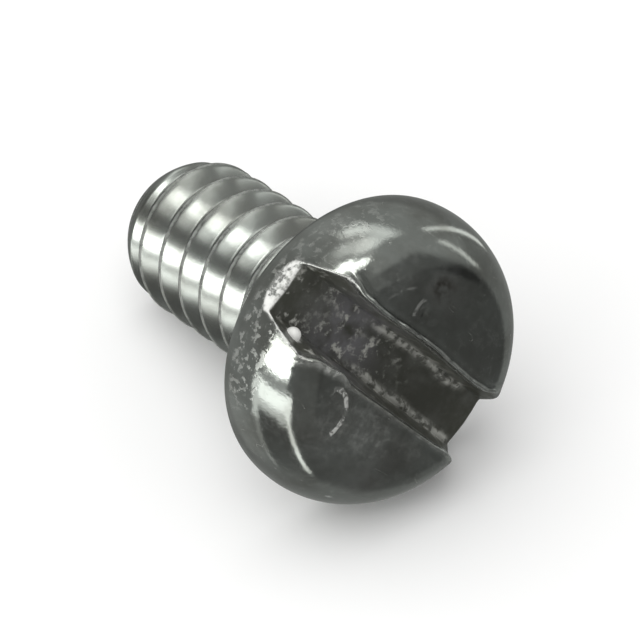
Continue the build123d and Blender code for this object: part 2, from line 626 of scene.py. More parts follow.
@dataclass(frozen=True)
class Wear:
    """Where the plating is rubbed, soiled or hazed, and where shade, highlights and sheen are painted, as
    masks from 0 to 1 over the screw's points.
    """

    head: HeadSizes
    thread: ThreadSizes
    smudges: tuple[Blot, ...] = (
        Blot(-1.15, -2.62, 0.45),
        Blot(-0.55, -2.55, 0.40),
        Blot(1.1, 3.0, 0.8, 0.7),
    )
    # Pale film painted as sheen on the top and on the upper-left shoulder
    haze_and_sheen_blots: tuple[Blot, ...] = (
        Blot(-1.2, 2.2, 1.2, 0.95),
        Blot(0.4, 2.0, 0.9, 0.9),
        Blot(-2.6, -2.2, 0.9, 0.6),
        Blot(1.8, 1.7, 0.5, 0.5),
    )
    shoulder_haze_and_sheen: Blot = Blot(-3.9, -2.2, 0.6, 0.8)
    edge_gap: Blot = Blot(-4.38, -1.15, 0.17)
    soot: Blot = Blot(-1.5, 0.0, 1.3)

    def masks(self, points: Array) -> dict[str, Array]:
        """Works out all masks; the bead gets none but its own.

        Args:
            points: the screw's points in its own frame.

        Returns:
            The masks by name, one number per point.
        """
        x, y, z = points.T
        height, radius, across = -z, np.hypot(x, y), np.abs(y)
        surface = HeadSurface(self.head)
        opening = surface.opening(x, y)
        on_head = smooth_step(height, 0.3, 0.5)
        on_top = smooth_step(height, 2.3, 2.5)
        # Slot floor and walls right up to the lips: dark dirt plus painted shade of the recess
        in_slot = smooth_step(height, 0.8, 1.0) * smooth_step(surface.dome(radius) - height, 0.06, 0.40)
        lips = hump(across - opening, 0.03, 0.07) * smooth_step(height, 1.6, 2.0)
        band = hump(y - opening, 0.12, 0.12) * hump(x, -2.6, 0.8) * on_head
        # Far lobe tips: painted shade, laid in with the dirt blots and kept free of the lip wear
        tips = smooth_step(x, 3.3, 3.9) * smooth_step(-across, -2.2, -1.5) * smooth_step(across, 0.8, 1.0)
        side = smooth_step(-x, 2.7, 3.6) * smooth_step(radius, 4.05, 4.3) * smooth_step(z, -1.75, -1.35)
        masks = {
            # slot lips rubbed lighter, a lighter band beside the lower wall, and the painted highlight on
            # the thread's ridge
            "worn_edge_and_highlight": 0.42 * lips * (1.0 - tips) + 0.95 * band + self.crest_highlight(points),
            # pale matt painted highlights on the rubbed edges of the slot's mouth
            "edge_highlight": np.maximum(self.rolled_edge_highlight(points), self.mouth_edge_highlight(points) * on_head),
            "slot_residue_and_shade": in_slot,
            "speckled": smooth_step(-x, -2.6, 0.4) * in_slot,
            "sooty": self.soot.at(x, 0.8 * y) * in_slot,
            "crumbs": np.clip(surface.burr(x, y) / 0.07, 0.0, 1.0) * in_slot,
            "pitted": (side * smooth_step(y, -1.2, 0.2, 0.45) + 0.10) * on_head,
            # dirt blots on the top, plus painted shade on the far lobe tips
            "smudge_and_shade": spread(self.smudges, x, y) * on_top + 1.5 * tips * on_head,
            # pale film painted as sheen, on the top and on the shoulder
            "haze_and_sheen": spread(self.haze_and_sheen_blots, x, y) * on_top + self.shoulder_haze_and_sheen.at(x, y) * on_head,
            "threaded": smooth_step(z, 0.2, 1.0),
        }
        bead = np.linalg.norm(points - self.head.bead_centre, axis=1) < self.head.bead_radius * 1.001
        held = {name: np.clip(values, 0.0, 1.0) * ~bead for name, values in masks.items()}
        return held | {"bead": bead.astype(float)}

    def crest_highlight(self, points: Array) -> Array:
        """Painted highlight line along the thread's ridge, where its top catches light, from the end of the
        run-out on.

        Args:
            points: the screw's points in its own frame.

        Returns:
            Numbers from 0 to 1.
        """
        x, y, z = points.T
        offset = ShankSurface(self.thread).offset(np.arctan2(y, x), z)
        return hump(offset, 0.0, 0.055) * smooth_step(z, 1.2, 1.8) * smooth_step(np.hypot(x, y), 1.9, 2.2)

    @staticmethod
    def rolled_edge_highlight(points: Array) -> Array:
        """Leaf-shaped band where the slot's floor rolls over the rim at negative x, painted pale and matt
        as a highlight on the rubbed edge.

        Formula: it lies beyond a radius and above a height that both grow with the square of y.

        Args:
            points: the screw's points in its own frame.

        Returns:
            Numbers from 0 to 1.
        """
        x, y, z = points.T
        bow = ((y + 0.02) / 0.88) ** 2
        inner = 4.38 + 0.15 * bow
        outer = 0.86 - 0.24 * (1.0 - bow)
        leaf = smooth_step(np.hypot(x, y) - inner, 0.0, 0.06) * smooth_step(-z - outer, 0.0, 0.09)
        ends = smooth_step(-np.abs(y), -0.94, -0.84) * smooth_step(y, -0.88, -0.70)
        return leaf * ends * smooth_step(-x, 0.0, 1.0)

    def mouth_edge_highlight(self, points: Array) -> Array:
        """Line along the crease between wall and rim at negative x, with one gap, painted pale and matt as
        a highlight on the rubbed edge.

        Args:
            points: the screw's points in its own frame.

        Returns:
            Numbers from 0 to 1.
        """
        x, y, _ = points.T
        surface = HeadSurface(self.head)
        crease = hump(surface.dome(np.hypot(x, y)) - surface.slot(x, y), 0.0, 0.15)
        return crease * smooth_step(-x, 3.35, 3.75) * (1.0 - self.edge_gap.at(x, y)) * (np.abs(y) < 2.0)


@dataclass
class Screw:
    """The one-piece screw: head with slot, neck, thread and tip in one closed mesh."""

    head: HeadSizes = field(default_factory=HeadSizes)
    thread: ThreadSizes = field(default_factory=ThreadSizes)
    pose: RestPose = field(default_factory=RestPose)
    across_lines: int = 156

    def slice_angles(self) -> Array:
        """Angles of the head's slices, closest together at the slot's walls.

        Returns:
            Angles in radians, whose sines are the slices' y.
        """
        wall = np.linspace(9.6, 19.4, 32)
        floor = np.linspace(-9.6, 9.6, 19)[1:-1]
        outer = np.linspace(19.4, 90.0, 52)[1:-1]
        half = np.concatenate([wall, outer])
        return np.radians(np.concatenate([-half[::-1], floor, half]))

    def head_top(self) -> tuple[Array, Array, Array]:
        """Upper surface of the head.

        Formula: y is the head's radius times the sine of the slice's angle, x the sine of a quarter
        turn times t, times the slice's half length, and z is minus the surface's height there.

        Returns:
            Points, triangle and quad corners padded with -1, and the indices of the outer ring.
        """
        h = self.head
        angle = self.slice_angles()[:, None]
        t = np.linspace(-1.0, 1.0, self.across_lines)
        x = h.radius * np.cos(angle) * np.sin(t * math.pi / 2)
        y = h.radius * np.sin(angle) + 0.0 * t
        z = -HeadSurface(h).height(x, y)
        z[:, [0, -1]] = -h.widest
        points = np.stack([x, y, z], -1).reshape(-1, 3)
        ends = [[0.0, -h.radius, -h.widest], [0.0, h.radius, -h.widest]]
        index = np.arange(y.size).reshape(y.shape)
        low, high = y.size, y.size + 1
        quads = faces_of(index[:-1, :-1], index[1:, :-1], index[1:, 1:], index[:-1, 1:])
        first = faces_of(low, index[0, :-1], index[0, 1:])
        last = faces_of(high, index[-1, 1:], index[-1, :-1])
        ring = np.concatenate([[low], index[:, -1], [high], index[::-1, 0]])
        return np.concatenate([points, ends]), np.concatenate([quads, first, last]), ring

    def lower_rings(self, angles: Array) -> Array:
        """Rings from the widest one over the rim's edge and across the bearing face to the neck.

        Args:
            angles: angles of the columns in radians.

        Returns:
            Points by ring and column.
        """
        h = self.head
        turn = np.linspace(0.0, math.pi / 2, 11)[1:]
        rim_radius = h.bearing_radius + (h.radius - h.bearing_radius) * np.cos(turn) ** h.rim_power
        rim = round_points(rim_radius[:, None], angles, -h.widest * (1.0 - np.sin(turn[:, None])))
        face_radius = np.linspace(h.bearing_radius, self.thread.neck_radius + self.thread.fillet, 8)[1:]
        return np.concatenate([rim, round_points(face_radius[:, None], angles, 0.0)])

    def end_rings(self, radius: Array, angles: Array) -> Array:
        """Rings across the tip's end face, which dips where its grain is low.

        Args:
            radius: the shank's last radius at each angle.
            angles: angles of the columns in radians.

        Returns:
            Points by ring and column.
        """
        shrink = np.linspace(0.9, 0.1, 7)[:, None]
        rings = round_points(radius * shrink, angles, self.thread.length)
        grain = Grain(31).layered(rings[..., 0] * 1.5, rings[..., 1] * 1.5)
        rings[..., 2] += 0.02 * np.minimum(grain, 0.0)
        return rings

    def points_and_faces(self) -> tuple[Array, Array]:
        """Joins head, rim, shank, tip and bead.

        Returns:
            All points in millimetres, and all faces, padded with -1 where they are triangles.
        """
        top, top_faces, ring = self.head_top()
        angles = np.unwrap(np.arctan2(top[ring, 1], top[ring, 0]))
        lower = self.lower_rings(angles)
        surface = ShankSurface(self.thread)
        z = surface.rows(angles - angles[0])[1:]
        radius = surface.radius(angles, z)
        body = np.concatenate([lower, round_points(radius, angles, z), self.end_rings(radius[-1], angles)])
        rows, columns = body.shape[:2]
        index = len(top) + np.arange(rows * columns).reshape(rows, columns)
        start, stop = len(lower) - 1, len(lower) + len(z) - 1
        kept = np.ones((rows - 1, columns), dtype=bool)
        kept[start:stop, -1] = False
        threaded = slice(start, stop + 1)
        left, right = index[threaded, -1], index[threaded, 0]
        seam = seam_faces(left, right, body[threaded, -1, 2], body[threaded, 0, 2])
        join = faces_of(ring, np.roll(ring, -1), np.roll(index[0], -1), index[0])
        cap = fan_faces(index[-1], index[-1, -1] + 1)
        points = np.concatenate([top, body.reshape(-1, 3), [[0.0, 0.0, self.thread.length]]])
        bead, bead_faces = self.bead_ball(len(points))
        faces = [top_faces, join, ring_faces(index)[kept.ravel()], seam, cap, bead_faces]
        return np.concatenate([points, bead]), np.concatenate(faces)

    def bead_ball(self, first: int) -> tuple[Array, Array]:
        """Small hard bead stuck on the slot's lower wall, as a sphere of rings from pole to pole.

        Args:
            first: index of the first point.

        Returns:
            Points and faces.
        """
        rings, columns = 14, 28
        polar = np.linspace(0.0, math.pi, rings + 2)[1:-1, None]
        turn = np.linspace(0.0, 2.0 * math.pi, columns, endpoint=False)
        ball = round_points(np.sin(polar), turn, -np.cos(polar)).reshape(-1, 3)
        shape = np.concatenate([ball, [[0.0, 0.0, -1.0], [0.0, 0.0, 1.0]]])
        index = first + np.arange(rings * columns).reshape(rings, columns)
        low, high = index[-1, -1] + 1, index[-1, -1] + 2
        faces = [ring_faces(index), fan_faces(index[0, ::-1], low), fan_faces(index[-1], high)]
        return shape * self.head.bead_radius + self.head.bead_centre, np.concatenate(faces)

    def build(self, finish: "PlatedSteel") -> Object:
        """Makes the mesh object, gives it its masks and finish, and lets it stand for the CAD node.

        Args:
            finish: the metal's finish.

        Returns:
            The finished object.
        """
        points, faces = self.points_and_faces()
        piece = mesh_object("screw_plated", self.pose.place(points), faces)
        for name, values in Wear(self.head, self.thread).masks(points).items():
            store(piece, name, values)
        piece.data.materials.append(finish.material(self.pose))
        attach(piece, "root")
        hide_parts("screw")
        return piece


# Shader helpers


@dataclass(frozen=True)
class Mottle:
    """A noise cut to soft-edged patches.

    The scale is per millimetre, the edge runs from start to end of the noise's values, and low is
    the amount between the patches.
    """

    scale: float
    start: float
    end: float
    low: float = 0.0
    detail: float = 4.0
    rough: float = 0.55


class Nodes:
    """Short ways to add and join shader nodes in one tree."""

    def __init__(self, tree: NodeTree) -> None:
        """Keeps the tree that gets the nodes."""
        self.tree = tree

    def add(self, kind: str, **settings: object) -> Node:
        """Adds a node.

        Args:
            kind: the node's type name.
            settings: properties to set on it.

        Returns:
            The node.
        """
        node = self.tree.nodes.new(kind)
        for name, value in settings.items():
            setattr(node, name, value)
        return node

    def feed(self, socket: Socket, value: object) -> None:
        """Joins a socket to another, or sets its number or colour.

        Args:
            socket: the input to feed.
            value: socket, number or colour.
        """
        if isinstance(value, Socket):
            self.tree.links.new(value, socket)
        else:
            socket.default_value = value

    def fill(self, node: Node, values: dict[str | int, object]) -> Node:
        """Feeds a node's inputs by name or number.

        Args:
            node: the node to feed.
            values: sockets, numbers or colours.

        Returns:
            The node.
        """
        for name, value in values.items():
            self.feed(node.inputs[name], value)
        return node

    def maths(self, operation: str, *values: object) -> Socket:
        """Adds a Math node for sockets or numbers, in order."""
        node = self.add("ShaderNodeMath", operation=operation)
        return self.fill(node, dict(enumerate(values))).outputs[0]

    def vector(self, operation: str, *values: object, output: str = "Vector") -> Socket:
        """Adds a Vector Math node and returns its vector, or its number where that is asked for."""
        node = self.add("ShaderNodeVectorMath", operation=operation)
        return self.fill(node, dict(enumerate(values))).outputs[output]

    def times(self, *values: object) -> Socket:
        """Product of the values."""
        return reduce(partial(self.maths, "MULTIPLY"), values)

    def most(self, *values: object) -> Socket:
        """Largest of the values."""
        return reduce(partial(self.maths, "MAXIMUM"), values)

    def weigh(self, total: Socket, *parts: tuple[Socket, float]) -> Socket:
        """Adds sockets to a total, each times its number."""
        return reduce(lambda done, part: self.maths("MULTIPLY_ADD", *part, done), parts, total)

    def ramp(self, value: object, start: float, end: float, low: float = 0.0, high: float = 1.0) -> Socket:
        """Adds a smooth Map Range node from start..end to low..high."""
        node = self.add("ShaderNodeMapRange", interpolation_type="SMOOTHSTEP")
        return self.fill(node, dict(enumerate((value, start, end, low, high)))).outputs["Result"]

    def noise(self, vector: Socket, scale: object, detail: float = 3.0, rough: float = 0.55) -> Socket:
        """Adds a Noise Texture node and returns its grey value."""
        values = {"Vector": vector, "Scale": scale, "Detail": detail, "Roughness": rough}
        return self.fill(self.add("ShaderNodeTexNoise"), values).outputs["Fac"]

    def mottle(self, vector: Socket, kind: Mottle) -> Socket:
        """Adds a mottle, from its low amount to 1."""
        grey = self.noise(vector, kind.scale, kind.detail, kind.rough)
        return self.ramp(grey, kind.start, kind.end, kind.low)

    def mix(self, amount: object, first: object, second: object) -> Socket:
        """Adds a colour Mix node."""
        node = self.add("ShaderNodeMix", data_type="RGBA")
        return self.fill(node, {0: amount, 6: first, 7: second}).outputs[2]

    def mask(self, name: str) -> Socket:
        """Reads one of the mesh's stored masks."""
        return self.add("ShaderNodeAttribute", attribute_name=name).outputs["Fac"]

    def group(self, tree: NodeTree, values: dict[str, object]) -> Node:
        """Adds a node group with its inputs."""
        return self.fill(self.add("ShaderNodeGroup", node_tree=tree), values)


def rgba(colour: Rgb) -> tuple[float, float, float, float]:
    """Colour with full alpha."""
    return (*colour, 1.0)


def new_material(name: str) -> tuple[Material, Nodes, Node]:
    """Starts a material.

    Args:
        name: the material's name.

    Returns:
        The material, its node helper and its Principled shader.
    """
    material = bpy.data.materials.new(name)
    material.use_nodes = True
    return material, Nodes(material.node_tree), material.node_tree.nodes["Principled BSDF"]


def new_group(
    name: str, vectors: tuple[str, ...], numbers: tuple[str, ...], results: tuple[str, ...]
) -> tuple[Nodes, NodeOutputs, NodeInputs]:
    """Starts a shader node group.

    Args:
        name: the group's name.
        vectors, numbers: names of its inputs of either kind.
        results: names of its number outputs.

    Returns:
        Its node helper, the sockets that give its inputs and the sockets that take its results.
    """
    group = bpy.data.node_groups.new(name, "ShaderNodeTree")
    for labels, side, kind in (
        (vectors, "INPUT", "NodeSocketVector"),
        (numbers, "INPUT", "NodeSocketFloat"),
        (results, "OUTPUT", "NodeSocketFloat"),
    ):
        for label in labels:
            group.interface.new_socket(label, in_out=side, socket_type=kind)
    nodes = Nodes(group)
    return nodes, nodes.add("NodeGroupInput").outputs, nodes.add("NodeGroupOutput").inputs


def pitted_grain_group() -> NodeTree:
    """Group: fine grain with scattered pits, as a height and a roughness change.

    Returns:
        The group.
    """
    nodes, given, result = new_group(
        "pitted_grain", ("Vector",), ("Grain Scale", "Pit Scale", "Pit Amount"), ("Height", "Roughening")
    )
    where = given["Vector"]
    fine = nodes.noise(where, given["Grain Scale"], 4.0, 0.6)
    cells = nodes.add("ShaderNodeTexVoronoi", feature="F1")
    nodes.fill(cells, {"Vector": where, "Scale": given["Pit Scale"], "Randomness": 1.0})
    hole = nodes.ramp(cells.outputs["Distance"], 0.12, 0.42, 1.0, 0.0)
    patch = nodes.mottle(where, Mottle(0.9, 0.48, 0.62, detail=2.0))
    pit = nodes.times(hole, patch, given["Pit Amount"])
    nodes.feed(result["Height"], nodes.maths("SUBTRACT", fine, pit))
    nodes.feed(result["Roughening"], nodes.weigh(pit, (fine, 0.4)))
    return nodes.tree


def scratch_group() -> NodeTree:
    """Group: thin scratches along one direction, from a stretched noise cut to thin lines.

    Returns:
        The group.
    """
    nodes, given, result = new_group("thin_scratches", ("Vector", "Turn", "Stretch"), ("Scale",), ("Line",))
    turn = nodes.add("ShaderNodeMapping")
    nodes.fill(turn, {"Vector": given["Vector"], "Rotation": given["Turn"], "Scale": given["Stretch"]})
    stretched = nodes.noise(turn.outputs["Vector"], given["Scale"], 2.0, 0.5)
    away = nodes.maths("ABSOLUTE", nodes.maths("SUBTRACT", stretched, 0.5))
    line = nodes.ramp(away, 0.0, 0.006, 1.0, 0.0)
    patch = nodes.mottle(given["Vector"], Mottle(2.1, 0.56, 0.66, detail=1.0))
    nodes.feed(result["Line"], nodes.times(line, patch))
    return nodes.tree


def arc_mark_group() -> NodeTree:
    """Group: one scratch along an arc on the head's top.

    Formula: distance from the centre in the plane, less the radius, made absolute and cut to the
    width; kept only where the direction from the centre is near the wanted one, and over the slot.

    Returns:
        The group.
    """
    nodes, given, result = new_group(
        "arc_mark", ("Vector", "Centre", "Toward"), ("Radius", "Width", "Reach"), ("Line",)
    )
    where = given["Vector"]
    offset = nodes.vector("SUBTRACT", nodes.vector("MULTIPLY", where, (1.0, 1.0, 0.0)), given["Centre"])
    length = nodes.vector("LENGTH", offset, output="Value")
    wobble = nodes.maths("MULTIPLY_ADD", nodes.noise(where, 3.0), 0.16, -0.08)
    away = nodes.maths("SUBTRACT", nodes.maths("ADD", length, wobble), given["Radius"])
    near = nodes.maths("DIVIDE", nodes.maths("ABSOLUTE", away), given["Width"])
    ahead = nodes.vector("DOT_PRODUCT", nodes.vector("NORMALIZE", offset), given["Toward"], output="Value")
    along = nodes.ramp(nodes.maths("SUBTRACT", ahead, given["Reach"]), 0.0, 0.05)
    split = nodes.fill(nodes.add("ShaderNodeSeparateXYZ"), {"Vector": where})
    on_top = nodes.ramp(split.outputs["Z"], -2.4, -2.5)
    broken = nodes.mottle(where, Mottle(5.0, 0.38, 0.56, low=0.2, rough=0.7))
    line = nodes.ramp(near, 0.4, 1.0, 1.0, 0.0)
    nodes.feed(result["Line"], nodes.times(line, along, on_top, broken))
    return nodes.tree


# Finishes


@dataclass(frozen=True)
class ArcMark:
    """A scratch along part of a circle on the head's top, in millimetres."""

    centre: tuple[float, float]
    radius: float
    middle_deg: float
    half_deg: float
    width: float
    strength: float


@dataclass(frozen=True)
class Layers:
    """How much of each kind of wear, dirt, painted shade, painted highlight and painted sheen lies at a
    place, as sockets from 0 to 1.
    """

    cloud: Socket
    smudge_and_shade: Socket
    haze_and_sheen: Socket
    threaded: Socket
    # rubbed edges and the painted highlight along the thread's ridge
    edge: Socket
    pits: Socket
    stain_and_shade: Socket
    sooty: Socket
    crumbs: Socket
    edge_highlight_and_bead: Socket
    arcs: Socket
    thin: Socket
    light: Socket

    def taken(self, shares: Shares) -> list[tuple[Socket, float]]:
        """The layers that a table of shares names, each with its share."""
        return [(getattr(self, name), amount) for name, amount in shares]


@dataclass(frozen=True)
class PlatedSteel:
    """Tarnished bright plating on steel, rubbed on its edges, with dark dirt and painted shade in the slot,
    and painted highlights and sheen.
    """

    metal: Rgb = (0.395, 0.41, 0.395)
    tarnish: Rgb = (0.275, 0.278, 0.262)
    bright: Rgb = (0.80, 0.80, 0.77)
    # lighter colour of rubbed edges, also of the painted highlight along the thread's ridge
    wear_and_highlight: Rgb = (0.66, 0.67, 0.64)
    # dark dirt colour of the slot, also its painted shade
    slot_residue_and_shade: Rgb = (0.058, 0.059, 0.047)
    soot: Rgb = (0.180, 0.176, 0.188)
    fleck: Rgb = (0.50, 0.50, 0.46)
    # dark colour of the dirt blots, also of the painted shade on the far lobe tips
    grime_and_shade: Rgb = (0.050, 0.047, 0.040)
    roughness: float = 0.10
    bump: float = 0.075
    bump_distance: float = 0.00003
    grain_sizes: Shares = (("Grain Scale", 9.0), ("Pit Scale", 3.2), ("Pit Amount", 0.4))
    matted: Shares = (
        ("stain_and_shade", 0.82),
        ("crumbs", 0.82),
        ("haze_and_sheen", 0.16),
        ("smudge_and_shade", 0.3),
        ("edge", 0.35),
        ("pits", 0.16),
        ("arcs", 0.7),
    )
    roughened: Shares = (
        ("cloud", 0.03),
        ("threaded", 0.12),
        ("edge", 0.18),
        ("pits", 0.25),
        ("stain_and_shade", 0.25),
        ("smudge_and_shade", 0.08),
        ("light", 0.4),
    )
    raised: Shares = (("crumbs", 5.5), ("pits", 2.5), ("thin", -2.0), ("arcs", 3.0))
    clouds: Mottle = Mottle(0.55, 0.35, 0.68)
    smudge_and_shade_mottle: Mottle = Mottle(2.4, 0.35, 0.6, 0.3)
    hazy_sheen: Mottle = Mottle(3.8, 0.42, 0.72, 0.3, 6.0, 0.75)
    broken: Mottle = Mottle(5.0, 0.38, 0.62, rough=0.7)
    pitted: Mottle = Mottle(4.2, 0.50, 0.62, detail=2.5, rough=0.6)
    stain_and_shade_mottle: Mottle = Mottle(1.4, 0.2, 0.6, 0.8)
    sooty: Mottle = Mottle(0.9, 0.34, 0.58, detail=3.0)
    specks: Mottle = Mottle(3.2, 0.52, 0.68, rough=0.64)
    speck_groups: Mottle = Mottle(1.3, 0.40, 0.62, 0.25, 2.0)
    lumps: Mottle = Mottle(3.6, 0.40, 0.56, 0.15, 3.0, 0.6)
    striped: Mottle = Mottle(4.0, 0.38, 0.54, 0.30, 3.0, 0.6)
    marks: tuple[ArcMark, ...] = (
        ArcMark((-2.02, 2.27), 0.83, -36.0, 64.0, 0.105, 0.74),
        ArcMark((-2.35, 1.58), 0.24, 0.0, 45.0, 0.06, 0.5),
        ArcMark((-0.93, -1.76), 0.47, 183.0, 42.0, 0.08, 0.28),
        ArcMark((-0.90, -0.70), 1.755, 221.3, 20.0, 0.06, 0.2),
        ArcMark((0.2, 3.6), 2.2, 262.0, 16.0, 0.05, 0.16),
        ArcMark((1.6, 0.2), 2.1, 118.0, 14.0, 0.05, 0.14),
    )

    def material(self, pose: RestPose) -> Material:
        """Builds the material.

        Args:
            pose: the rest pose, undone by a Mapping node so patterns follow the screw's own axes.

        Returns:
            The material.
        """
        material, nodes, shader = new_material("plated_steel_worn")
        where = self.own_axes(nodes, pose)
        grain = nodes.group(pitted_grain_group(), {"Vector": where, **dict(self.grain_sizes)})
        layers = self.layers(nodes, where)
        nodes.feed(shader.inputs["Base Color"], self.colour(nodes, layers))
        nodes.feed(shader.inputs["Metallic"], nodes.maths("SUBTRACT", 1.0, self.matt(nodes, layers)))
        nodes.feed(shader.inputs["Roughness"], self.rough(nodes, layers, grain.outputs["Roughening"]))
        nodes.feed(shader.inputs["Normal"], self.normal(nodes, layers, grain.outputs["Height"]))
        return material

    def layers(self, nodes: Nodes, where: Socket) -> Layers:
        """Breaks the mesh's masks up by mottles and adds the scratches.

        Args:
            nodes: the material's nodes.
            where: place on the screw in its own millimetres.

        Returns:
            The amounts that colour, metal, roughness and height share.
        """
        threaded, slot_soil_and_shade = nodes.mask("threaded"), nodes.mask("slot_residue_and_shade")
        specks = nodes.times(nodes.mottle(where, self.specks), nodes.mottle(where, self.speck_groups))
        specks = nodes.times(specks, nodes.mask("speckled"))
        lumps = nodes.times(nodes.mottle(where, self.lumps), nodes.mask("crumbs"), 0.85)
        wear_and_highlight = nodes.maths("MULTIPLY_ADD", nodes.mottle(where, self.broken), 0.6, 0.4)
        # painted highlight on the mouth's rubbed edges, streaked, joined by the pale bead
        edge_highlight_and_bead = nodes.times(nodes.mask("edge_highlight"), nodes.mottle(where, self.striped), 0.95)
        edge_highlight_and_bead = nodes.most(edge_highlight_and_bead, nodes.mask("bead"))
        stretch = {"Turn": (0.0, 0.0, 0.9), "Stretch": (0.25, 2.6, 1.0), "Scale": 0.8}
        lines = nodes.group(scratch_group(), {"Vector": where, **stretch})
        clean = nodes.maths("SUBTRACT", 1.0, nodes.most(threaded, slot_soil_and_shade))
        thin = nodes.times(lines.outputs["Line"], clean)
        arcs = self.arc_marks(nodes, where)
        return Layers(
            cloud=nodes.mottle(where, self.clouds),
            smudge_and_shade=nodes.times(nodes.mask("smudge_and_shade"), nodes.mottle(where, self.smudge_and_shade_mottle)),
            haze_and_sheen=nodes.times(nodes.mask("haze_and_sheen"), nodes.mottle(where, self.hazy_sheen)),
            threaded=threaded,
            # rubbed edges and the painted ridge highlight
            edge=nodes.times(nodes.mask("worn_edge_and_highlight"), wear_and_highlight),
            pits=nodes.times(nodes.mottle(where, self.pitted), nodes.mask("pitted")),
            # slot dirt and painted shade, broken up a little by a mottle
            stain_and_shade=nodes.times(slot_soil_and_shade, nodes.mottle(where, self.stain_and_shade_mottle)),
            sooty=nodes.times(nodes.mottle(where, self.sooty), nodes.mask("sooty")),
            crumbs=nodes.most(specks, lumps),
            edge_highlight_and_bead=edge_highlight_and_bead,
            arcs=arcs,
            thin=thin,
            light=nodes.most(edge_highlight_and_bead, arcs, nodes.times(thin, 0.4)),
        )

    def colour(self, nodes: Nodes, layers: Layers) -> Socket:
        """Lays the colours over each other, from the plating up to the bright metal.

        Args:
            nodes: the material's nodes.
            layers: the amounts of wear and dirt.

        Returns:
            The finished colour.
        """
        bright = rgba(self.bright)
        # slot colour: dark dirt and painted shade, mixed toward soot where it lies
        soot = nodes.mix(layers.sooty, rgba(self.slot_residue_and_shade), rgba(self.soot))
        paint = nodes.mix(layers.cloud, rgba(self.metal), rgba(self.tarnish))
        for amount, colour in (
            # dirt blots and painted shade on the far lobe tips
            (layers.smudge_and_shade, rgba(self.grime_and_shade)),
            (nodes.times(layers.threaded, 0.05), bright),
            # rubbed edges and the painted highlight along the thread's ridge
            (layers.edge, rgba(self.wear_and_highlight)),
            (nodes.times(layers.pits, 0.38), bright),
            (layers.stain_and_shade, soot),
            (layers.crumbs, rgba(self.fleck)),
            # pale film painted as sheen
            (nodes.times(layers.haze_and_sheen, 0.30), bright),
            # pale marks: painted highlights on the mouth's edges, the bead, arcs and scratches
            (layers.light, bright),
        ):
            paint = nodes.mix(amount, paint, colour)
        return paint

    def matt(self, nodes: Nodes, layers: Layers) -> Socket:
        """How far dirt, wear and painted shade, highlights and sheen take away the mirror: the largest
        share of any of them.
        """
        return nodes.most(layers.edge_highlight_and_bead, *(nodes.times(*part) for part in layers.taken(self.matted)))

    def rough(self, nodes: Nodes, layers: Layers, roughening: Socket) -> Socket:
        """Roughness of the plating, raised by the grain's roughening, dirt and wear."""
        base = nodes.maths("MULTIPLY_ADD", roughening, 0.08, self.roughness - 0.03)
        return nodes.maths("MINIMUM", nodes.weigh(base, *layers.taken(self.roughened)), 0.8)

    def normal(self, nodes: Nodes, layers: Layers, grain: Socket) -> Socket:
        """Bumps of the grain, weaker on the thread, with crumbs, pits and scratches.

        Args:
            nodes: the material's nodes.
            layers: the amounts of wear and dirt.
            grain: the grain's height.

        Returns:
            The bumped normal.
        """
        fine = nodes.times(grain, nodes.maths("MULTIPLY_ADD", layers.threaded, -0.6, 1.0))
        height = nodes.weigh(fine, *layers.taken(self.raised))
        settings = {"Strength": self.bump, "Distance": self.bump_distance, "Height": height}
        return nodes.fill(nodes.add("ShaderNodeBump"), settings).outputs["Normal"]

    def arc_marks(self, nodes: Nodes, where: Socket) -> Socket:
        """Strongest of the arc marks at each place.

        Args:
            nodes: the material's nodes.
            where: place on the screw in its own millimetres.

        Returns:
            Amount from 0 to 1.
        """
        tree = arc_mark_group()
        arcs = []
        for mark in self.marks:
            middle = math.radians(mark.middle_deg)
            shape = {
                "Centre": (*mark.centre, 0.0),
                "Toward": (math.cos(middle), math.sin(middle), 0.0),
                "Radius": mark.radius,
                "Width": mark.width,
                "Reach": math.cos(math.radians(mark.half_deg)),
            }
            arc = nodes.group(tree, {"Vector": where, **shape})
            arcs.append(nodes.times(arc.outputs["Line"], mark.strength))
        return nodes.most(*arcs)

    @staticmethod
    def own_axes(nodes: Nodes, pose: RestPose) -> Socket:
        """Object coordinates turned back to the screw's own axes, in millimetres.

        Args:
            nodes: the material's nodes.
            pose: the rest pose.

        Returns:
            The place on the screw.
        """
        coordinates = nodes.add("ShaderNodeTexCoord")
        back = tuple(Matrix(pose.matrix().T.tolist()).to_euler("XYZ"))
        turned = {"Vector": coordinates.outputs["Object"], "Rotation": back, "Scale": (1000.0,) * 3}
        return nodes.fill(nodes.add("ShaderNodeMapping"), turned).outputs["Vector"]


@dataclass(frozen=True)
class PaleFloor:
    """Matt pale table top."""

    colour: Rgb = (0.93, 0.93, 0.925)
    mottle_scale: float = 60.0
    darker: float = 0.985

    def material(self) -> Material:
        """Builds the matt floor material with a barely visible mottle.

        Returns:
            The material.
        """
        material, nodes, shader = new_material("pale_floor")
        coordinates = nodes.add("ShaderNodeTexCoord")
        mottle = nodes.noise(coordinates.outputs["Object"], self.mottle_scale)
        dark = tuple(channel * self.darker for channel in self.colour)
        colour = nodes.mix(mottle, rgba(self.colour), rgba(dark))
        nodes.fill(shader, {"Base Color": colour, "Roughness": 0.9, "Specular IOR Level": 0.1})
        return material


# Studio


